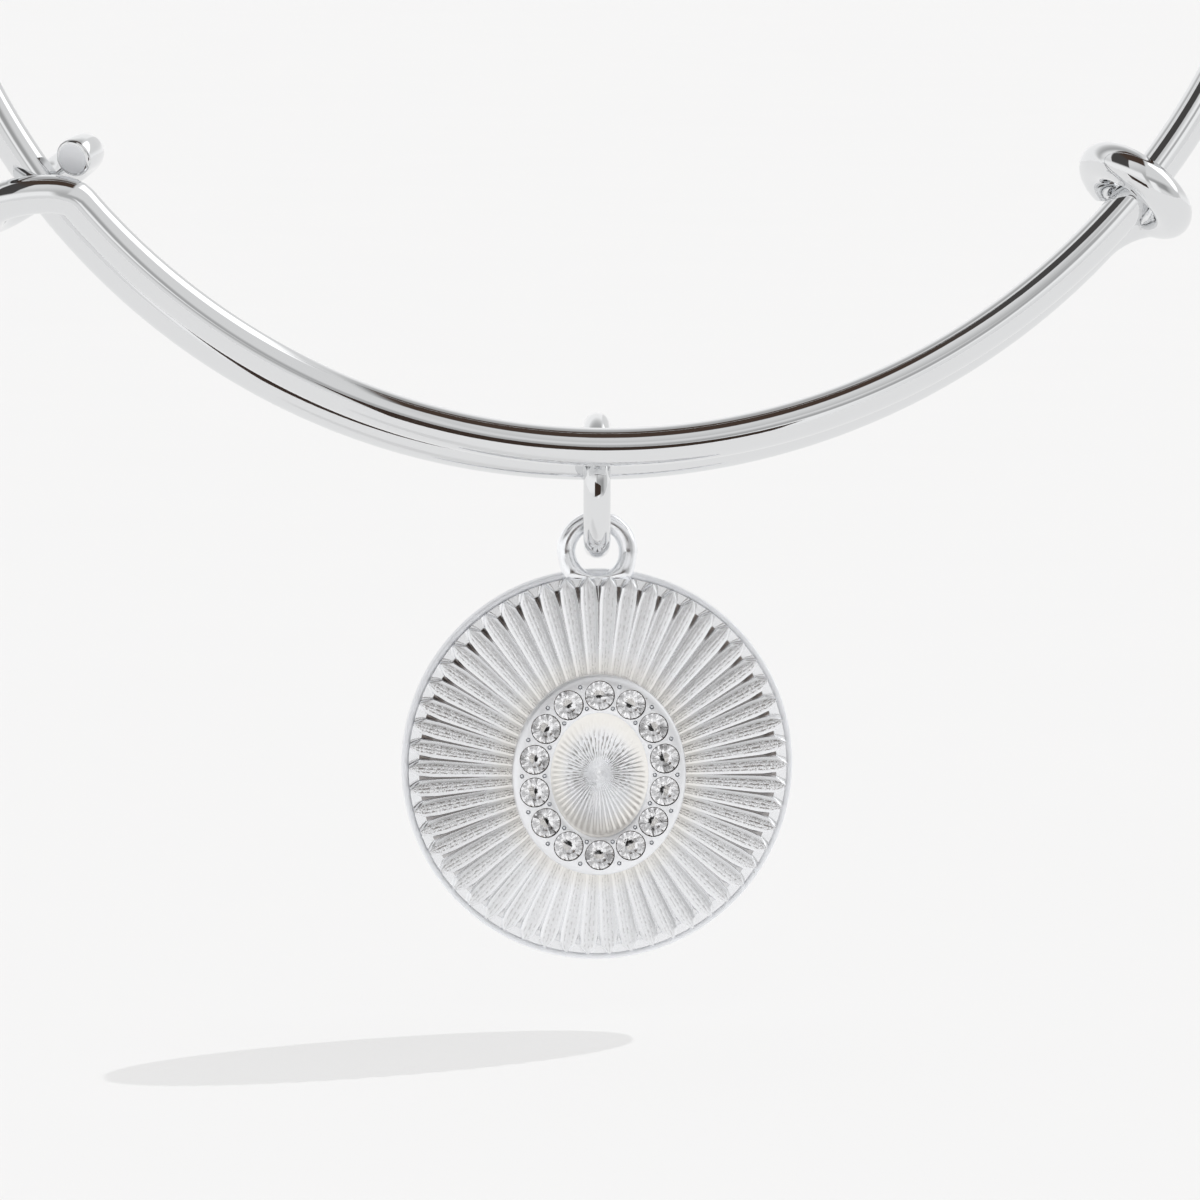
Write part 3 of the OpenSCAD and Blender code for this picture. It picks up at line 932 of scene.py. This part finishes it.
def half_groove(place):
    """Points across half a groove between two ribs, and its half width as a share of a ray."""
    out = max(0.0, min(1.0, (place - 2.0) / (ROOT_PLACE - 2.0)))
    pit = max(0.0, min(1.0, (place - PIT_PLACE) / (ROOT_PLACE - PIT_PLACE)))
    pitch = mix(RAY_PITCH_HUB, RAY_PITCH_RIM, out)
    half = mix(0.028, 0.075, out ** 1.2) + 0.06 * ease(pit)
    edge = RIB_TOP - mix(0.05, 0.10, out)
    depth = 0.9 * mix(0.032, 0.105, out ** 1.2) * pitch
    floor = mix(edge - depth, DISC_T, pit)
    points = []
    for share in (0.0, 0.55, 0.93, 1.0):
        sides = mix(edge - depth, edge, share)
        low = floor + 0.36 * share * half * pitch
        height = edge if share == 1.0 else mix(sides, low, pit)
        points.append((share * half, height, (0.0, 0.0, GROOVE_SHADE_WEIGHTS[len(points)])))
    return points, half, edge


def half_point(place):
    """Points of the ledge beside a rib's pointed end, and how far across the end starts."""
    past = (place - ROOT_PLACE) / (3 - ROOT_PLACE)
    start = mix(0.135, 0.46, past ** 1.25)
    edge = RIB_TOP - mix(0.10, 0.16, past)
    points = [(start * share, DISC_T, (0.0, 0.0, 0.0)) for share in (0.0, 0.5)]
    points.append((start - 0.012, DISC_T, (0.0, 0.0, 0.0)))
    points.append((start, edge, (0.0, 0.0, 0.0)))
    return points, start, edge


def rib_row(place):
    """Points across one ray at a place: half a groove, the rib and half a groove."""
    left, start, edge = half_groove(place) if place <= ROOT_PLACE else half_point(place)
    past = max(0.0, (place - ROOT_PLACE) / (3 - ROOT_PLACE))
    crest = RIB_TOP - 0.08 * past ** 2
    for along, mark, rough in RIB_STEPS[1:]:
        rise = (crest - edge) * (1 - (1 - along) ** 2)
        marked = mark * (1 - past ** 3)
        left.append((mix(start, 0.5, along), edge + rise - 0.018 * marked, (marked, rough, 0.0)))
    right = [(1 - share, height, zone) for share, height, zone in reversed(left[:-1])]
    return left + right


def make_rays(tree, material):
    """The ribs and valleys of the sunburst, as one cast sheet with a wall down into the disc."""
    places = [1.5, 1.9, 2.0, 2.02, 2.06, 2.12, 2.2, 2.3, 2.4, 2.5, 2.6, 2.68, 2.72, 2.745]
    places += [PIT_PLACE, 2.78, 2.80, 2.82, 2.84, 2.86, 2.88, ROOT_PLACE]
    places += [2.903, 2.91, 2.918, 2.928, 2.94, 2.952, 2.964, 2.976, 2.987, 2.995, 3.0]
    rows = [(place, rib_row(place)) for place in places]
    for height in (DISC_T, DISC_T / 2):
        rows.append((3.0, [(share, height, (0.0, 0.0, 0.0)) for share, tall, zone in rows[-1][1]]))
    ride_charm(lay_out("charm_rays", rows, tree, material))


def bowl_row(place):
    """Points across one fine ray of the bowl at a place."""
    base = BOWL_FLOOR + 0.44 * place ** 2.4
    ripple = 0.045 * ease(place / 0.3) * (1 - ease((place - 0.86) / 0.14))
    row = []
    for step in range(9):
        share = step / 8
        crest = 0.5 - 0.5 * cos_deg(360 * share)
        row.append((share, base + ripple * crest, (1 - crest, 0.0, 0.0)))
    return row


def make_bowl(tree, material):
    """The oval bowl inside the halo, with fine rays."""
    places = [0.0, 0.03, 0.08, 0.15, 0.22, 0.3, 0.38, 0.46, 0.54, 0.62, 0.7, 0.78, 0.85, 0.91, 0.96, 1.0, 1.1]
    rows = [(place, bowl_row(place)) for place in places]
    rows.append((1.1, [(share, DISC_T / 2, (0.0, 0.0, 0.0)) for share, height, zone in rows[-1][1]]))
    ride_charm(lay_out("charm_bowl", rows, tree, material))


def oval_turns():
    """The oval's angle in degrees at evenly spaced lengths, one for each half stone."""
    steps = 2880
    lengths = [0.0]
    before = (0.0, ROW_RZ)
    for step in range(1, steps + 1):
        angle = 360 * step / steps
        point = (ROW_RX * sin_deg(angle), ROW_RZ * cos_deg(angle))
        lengths.append(lengths[-1] + math.dist(before, point))
        before = point
    turns = []
    step = 0
    for half in range(2 * STONE_COUNT):
        wanted = lengths[-1] * half / (2 * STONE_COUNT)
        while lengths[step] < wanted:
            step += 1
        turns.append(360 * step / steps)
    return turns


def row_point(angle, aside=0.0):
    """A point beside the stones' oval, and the way out of the oval there."""
    out = Vector((ROW_RZ * sin_deg(angle), ROW_RX * cos_deg(angle), 0)).normalized()
    middle = Vector((ROW_RX * sin_deg(angle), ROW_RZ * cos_deg(angle) - BURST_DROP, 0))
    return middle + out * aside


# Across the halo: its share of the half width and its height
HALO_SECTION = (
    (-1.0, DISC_T / 2),
    (-1.0, HALO_TOP - 0.30),
    (-0.985, HALO_TOP - 0.21),
    (-0.95, HALO_TOP - 0.135),
    (-0.89, HALO_TOP - 0.08),
    (-0.80, HALO_TOP - 0.04),
    (-0.68, HALO_TOP - 0.015),
    (-0.5, HALO_TOP),
    (0.0, HALO_TOP),
    (0.5, HALO_TOP),
    (0.68, HALO_TOP - 0.02),
    (0.80, HALO_TOP - 0.055),
    (0.89, HALO_TOP - 0.10),
    (0.95, HALO_TOP - 0.155),
    (0.985, HALO_TOP - 0.22),
    (1.0, HALO_TOP - 0.32),
    (1.0, DISC_T / 2),
)
# How much wider the halo is outside its row than inside it
HALO_WIDER = 0.1
# The dimples beside the row and the grains in them
GRAIN_ASIDE = 0.57
GRAIN_R = 0.07
DIMPLE_R = 0.115
DIMPLE_DEPTH = 0.16
SEAT_SLACK = 0.035


def add_plug(points, faces, middle, sides, rings):
    """Adds a closed round plug from rings of (radius, height), bottom first."""
    start = len(points)
    for radius, height in rings:
        for side in range(sides):
            turn = 360 * side / sides
            points.append((middle.x + radius * sin_deg(turn), middle.y + radius * cos_deg(turn), height))
    for ring in range(len(rings) - 1):
        low, high = start + ring * sides, start + (ring + 1) * sides
        for side in range(sides):
            beside = (side + 1) % sides
            faces.append((low + side, low + beside, high + beside, high + side))
    top = start + (len(rings) - 1) * sides
    faces.append(tuple(start + side for side in reversed(range(sides))))
    faces.append(tuple(top + side for side in range(sides)))


def seat_cutters(turns, silver, seat_painted_shadow):
    """Closed round plugs that cut the stones' seats and the dimples beside them."""
    points, faces = [], []
    seat = STONE_R + SEAT_SLACK
    bottom = GIRDLE_TOP - GIRDLE_H - PAVILION_H - SEAT_GAP
    for angle in turns[::2]:
        add_plug(points, faces, row_point(angle), 48, ((seat, bottom), (seat, HALO_TOP + 0.4)))
    seat_faces = len(faces)
    for angle in turns[1::2]:
        for side in (-1, 1):
            middle = row_point(angle, side * GRAIN_ASIDE)
            low, high = HALO_TOP - DIMPLE_DEPTH, HALO_TOP + 0.3
            rings = (0.06, low), (DIMPLE_R * 0.8, low + 0.05), (DIMPLE_R, HALO_TOP - 0.03), (DIMPLE_R, high)
            add_plug(points, faces, middle, 20, rings)
    mesh = hang_mesh("seat_plugs", points, faces, smooth=False)
    face_outwards(mesh)
    # The seats' walls take the painted shadow and the dimples the silver.
    mesh.materials.append(seat_painted_shadow)
    mesh.materials.append(silver)
    slots = [0] * seat_faces + [1] * (len(faces) - seat_faces)
    mesh.polygons.foreach_set("material_index", slots)
    return link_object("seat_plugs", mesh)


def make_halo(turns, silver, seat_painted_shadow):
    """The raised oval band with a round seat for each stone."""
    steps = 288
    points = []
    for step in range(steps):
        angle = 360 * step / steps
        for share, height in HALO_SECTION:
            place = row_point(angle, share * ROW_HALF + HALO_WIDER * max(0.0, 2 * share - 1))
            points.append((place.x, place.y, height))
    halo = hang_piece("charm_halo", points, ring_faces(steps, len(HALO_SECTION)), silver)
    face_outwards(halo.data)
    plugs = seat_cutters(turns, silver, seat_painted_shadow)
    cut = halo.modifiers.new("seats", "BOOLEAN")
    cut.operation = "DIFFERENCE"
    cut.solver = "EXACT"
    cut.use_self = True
    cut.material_mode = "TRANSFER"
    cut.object = plugs
    depsgraph = bpy.context.evaluated_depsgraph_get()
    result = bpy.data.meshes.new_from_object(halo.evaluated_get(depsgraph), depsgraph=depsgraph)
    result.name = "charm_halo"
    halo.modifiers.clear()
    halo.data = result
    bpy.data.objects.remove(plugs)
    result.set_sharp_from_angle(angle=math.radians(38))
    ride_charm(halo)


def make_grain_tree():
    """Sets a small round grain on each point."""
    sockets = {"Grain Radius": "NodeSocketFloat", "Material": "NodeSocketMaterial"}
    tree, given, result = new_tree("set_grains", sockets)
    ball = {"Segments": 16, "Rings": 10, "Radius": given.outputs["Grain Radius"]}
    grain = add_node(tree, "GeometryNodeMeshUVSphere", ball)
    points = {0: given.outputs["Geometry"], 2: grain.outputs[0]}
    copies = add_node(tree, "GeometryNodeInstanceOnPoints", points)
    close_tree(tree, copies.outputs[0], given, result)
    return tree


def make_grains(turns, material):
    """The grains between the stones, on both sides of the row."""
    points = []
    for angle in turns[1::2]:
        for side in (-1, 1):
            place = row_point(angle, side * GRAIN_ASIDE)
            points.append((place.x, place.y, HALO_TOP - 0.12))
    base = hang_mesh("grain_points", points, [])
    values = {"Grain Radius": GRAIN_R * MM, "Material": material}
    ride_charm(run_tree("charm_grains", base, make_grain_tree(), values))


def facet_shade_level(stone, facet):
    """How bright a facet of a stone's foil is: most are bright, and one in five is darker, as painted shade.
    """
    chance = math.sin(12.9898 * facet + 78.233 * stone) * 43758.5453
    chance -= math.floor(chance)
    return mix(0.3, 0.6, chance * 5) if chance < 0.2 else 1.0


def add_foil(points, faces, facet_shades, middle, stone):
    """Adds a mirror cup close under one stone: eight mains and sixteen halves, with a back."""
    rim = GIRDLE_TOP - GIRDLE_H
    start = len(points)
    for radius, low in ((STONE_R + 0.012, 0.0), (STONE_R + 0.03, 0.02)):
        for side in range(16):
            turn = 22.5 * side
            points.append((middle.x + radius * cos_deg(turn), middle.y + radius * sin_deg(turn), rim - low))
        reach = radius * MAIN_SHARE
        depth = PAVILION_H * (1 - MAIN_SHARE * cos_deg(22.5)) + 0.012 + low
        for side in range(8):
            turn = 45 * side + 22.5
            points.append((middle.x + reach * cos_deg(turn), middle.y + reach * sin_deg(turn), rim - depth))
        points.append((middle.x, middle.y, rim - PAVILION_H - 0.014 - low))
    for side in range(8):
        before = (side + 7) % 8
        left, right = 16 + side, 16 + before
        for shift, flip in ((start, False), (start + 25, True)):
            main = (24 + shift, right + shift, 2 * side + shift, left + shift)
            first = (left + shift, 2 * side + shift, 2 * side + 1 + shift)
            second = (left + shift, 2 * side + 1 + shift, (2 * side + 2) % 16 + shift)
            for face in (main, first, second):
                faces.append(tuple(reversed(face)) if flip else face)
            facet_shades += [facet_shade_level(stone, 3 * side + facet) for facet in range(3)]
    for side in range(16):
        beside = (side + 1) % 16
        faces.append((start + beside, start + side, start + 25 + side, start + 25 + beside))
        facet_shades.append(0.9)


def make_foils(turns, material):
    """The foiled backs of the stones."""
    points, faces, facet_shades = [], [], []
    for stone, angle in enumerate(turns[::2]):
        add_foil(points, faces, facet_shades, row_point(angle), stone)
    foils = hang_piece("stone_foils", points, faces, material, smooth=False)
    foils.data.attributes.new("facet_shade", "FLOAT", "FACE").data.foreach_set("value", facet_shades)
    ride_charm(foils)


def dress_stones(material):
    """The stones stay as the frame has them and get the crystal."""
    for name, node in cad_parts.items():
        if name.startswith("stone_"):
            node.data.materials.clear()
            node.data.materials.append(material)


# The studio


def view_axes():
    """The photograph's right, its way back to the camera, and its up."""
    turn, lift = math.radians(CAMERA_AZIMUTH), math.radians(CAMERA_ELEVATION)
    right = Vector((math.cos(turn), math.sin(turn), 0))
    back = Vector((math.sin(turn) * math.cos(lift), -math.cos(turn) * math.cos(lift), math.sin(lift)))
    return right, back, back.cross(right)


def make_camera():
    """The camera at the photograph's angle."""
    right, back, up = view_axes()
    data = bpy.data.cameras.new("camera")
    data.sensor_width = SENSOR_W
    data.lens = SENSOR_W * CAMERA_DISTANCE / CAMERA_FIELD
    data.clip_start = 0.01
    data.clip_end = 20
    camera = bpy.data.objects.new("camera", data)
    bpy.context.scene.collection.objects.link(camera)
    turned = Matrix((right, up, back)).transposed().to_4x4()
    camera.matrix_world = Matrix.Translation(Vector(CAMERA_TARGET) + back * CAMERA_DISTANCE) @ turned
    bpy.context.scene.camera = camera


def make_floor():
    """The pale paper that the charm's shadow falls on."""
    mesh = bpy.data.meshes.new("floor")
    left, right = -FLOOR_HALF_W, FLOOR_HALF_W
    edges = (left, FLOOR_FRONT), (right, FLOOR_FRONT), (right, FLOOR_REAR), (left, FLOOR_REAR)
    corners = [(x, y, FLOOR_Z) for x, y in edges]
    mesh.from_pydata(corners, [], [(0, 1, 2, 3)])
    mesh.materials.append(make_paper())
    link_object("floor", mesh)


def make_dark_card():
    """A small dark card close in front of the wire, seen only in its shine."""
    mesh = bpy.data.meshes.new("dark_card")
    corners = [Vector((x, CARD_Y, z)) * MM for x, z in CARD_CORNERS]
    mesh.from_pydata(corners, [], [(0, 1, 2, 3)])
    material, tree, shader = new_material("dark_card")
    fill(tree, shader, {"Base Color": CARD_BROWN, "Roughness": 1.0, "Specular IOR Level": 0.0})
    mesh.materials.append(material)
    card = link_object("dark_card", mesh)
    card.visible_camera = False
    card.visible_transmission = False
    card.visible_shadow = False


def make_sun(name, travel, strength, angle, shadow):
    """A far light that the metal doesn't mirror."""
    data = bpy.data.lights.new(name, "SUN")
    data.energy = strength
    data.angle = math.radians(angle)
    data.use_shadow = shadow
    sun = bpy.data.objects.new(name, data)
    sun.rotation_mode = "QUATERNION"
    sun.rotation_quaternion = Vector(travel).to_track_quat("-Z", "Y")
    sun.visible_glossy = False
    sun.visible_transmission = False
    bpy.context.scene.collection.objects.link(sun)


def make_studio():
    """A pale room by direction: soft walls, a dark slot above, a bright box above on the right."""
    world = bpy.data.worlds.new("studio")
    bpy.context.scene.world = world
    world.use_nodes = True
    tree = world.node_tree
    background = tree.nodes["Background"]
    way = add_node(tree, "ShaderNodeTexCoord").outputs["Generated"]
    right, back, up = view_axes()

    def part(axis):
        inputs = {0: way, 1: tuple(axis)}
        return add_node(tree, "ShaderNodeVectorMath", inputs, operation="DOT_PRODUCT").outputs[1]

    side, near, high = part(right), part(back), part(up)
    above = calc(tree, "MAXIMUM", high, 0.02)
    lean = calc(tree, "DIVIDE", side, above)
    reach = calc(tree, "DIVIDE", near, above)
    # The front wall brightens upwards and to the left.
    value = ramp(tree, high, 0.05, 0.8, 0.5, 0.80)
    value = calc(tree, "ADD", value, times(tree, side, -0.2))

    def lay(value, mask, brightness):
        inputs = {0: mask, 2: value, 3: brightness}
        return add_node(tree, "ShaderNodeMix", inputs, data_type="FLOAT").outputs[0]

    # The low walls on the left and right, and the back wall
    low = ramp(tree, high, 0.12, 0.35, 1.0, 0.0)
    value = lay(value, times(tree, ramp(tree, side, -0.03, -0.12), low), 1.03)
    value = lay(value, ramp(tree, side, 0.75, 0.98), 0.68)
    rear = ramp(tree, reach, -0.25, -1.2, 0.45, 1.0)
    value = lay(value, ramp(tree, near, 0.0, -0.25), rear)
    # The right part of the ceiling, the dark slot and the bright box
    value = lay(value, times(tree, ramp(tree, lean, 0.36, 0.5), ramp(tree, high, 0.1, 0.3)), 0.80)
    edge = calc(tree, "MAXIMUM", calc(tree, "MULTIPLY_ADD", lean, -1.5, -0.45), 0.0)
    edge = calc(tree, "SUBTRACT", reach, edge)
    back_edge = calc(tree, "MULTIPLY_ADD", calc(tree, "MINIMUM", lean, 0.0), 0.42, reach)
    slot = times(
        tree,
        ramp(tree, edge, 0.74, 0.62),
        ramp(tree, back_edge, -0.22, -0.12),
        ramp(tree, lean, 0.46, 0.38),
        ramp(tree, high, 0.2, 0.35),
    )
    value = lay(value, slot, 0.072)
    box = times(
        tree,
        ramp(tree, lean, 0.5, 0.62),
        ramp(tree, reach, 0.3, 0.15),
        ramp(tree, reach, -0.9, -0.7),
        ramp(tree, high, 0.1, 0.3),
    )
    value = lay(value, box, 1.7)
    # Below the horizon: the table in front and its bright sheet on the right
    value = lay(value, ramp(tree, high, -0.1, -0.3), 0.85)
    sheet = times(
        tree,
        ramp(tree, high, 0.02, -0.08),
        ramp(tree, side, 0.06, 0.12),
        ramp(tree, side, 0.5, 0.3),
    )
    value = lay(value, sheet, 1.05)
    seen = add_node(tree, "ShaderNodeLightPath").outputs["Is Camera Ray"]
    value = lay(value, seen, PAPER_WHITE)
    warm = ramp(tree, value, 0.03, 0.3)
    shade = blend_colour(tree, ramp(tree, lean, -0.55, -0.2), (1.0, 0.95, 0.93, 1.0), (1.0, 0.66, 0.5, 1.0))
    tint = blend_colour(tree, warm, shade, (1.0, 1.0, 1.0, 1.0))
    colour = add_node(tree, "ShaderNodeVectorMath", {0: tint, 3: value}, operation="SCALE")
    tree.links.new(colour.outputs[0], background.inputs["Color"])


def make_views():
    """Plain colours, with no film curve."""
    settings = bpy.context.scene.view_settings
    settings.view_transform = "Standard"
    settings.look = "None"


def build():
    """Builds every piece and the studio."""
    make_camera()
    marks = make_plating_marks()
    drawn = make_drawn_silver(marks, "drawn_silver", 0.00001)
    uneven = make_drawn_silver(marks, "ring_silver", 0.00003)
    cast = make_cast_silver(marks, "cast_silver", SILVER_BRIGHT, 0.20, 0.28)
    satin = make_cast_silver(marks, "satin_silver", SILVER_BRIGHT, 0.68, 0.8)
    matt = make_cast_silver(marks, "halo_silver", SILVER_BRIGHT, 0.40, 0.50)
    sweep = make_sweep_tree()
    make_wire(sweep, drawn)
    make_jump_ring(sweep, uneven)
    burst = make_burst_tree()
    turns = oval_turns()
    make_disc(satin)
    make_bail(cast)
    make_rays(burst, make_ray_silver(marks))
    make_bowl(burst, make_bowl_silver(marks))
    make_halo(turns, matt, make_seat_painted_shadow())
    make_grains(turns, matt)
    make_foils(turns, make_foil(marks))
    dress_stones(make_crystal(marks))
    make_floor()
    make_dark_card()
    make_sun("key", *KEY_SUN, shadow=True)
    make_sun("fill", *FILL_SUN, shadow=False)
    make_studio()
    make_views()


build()
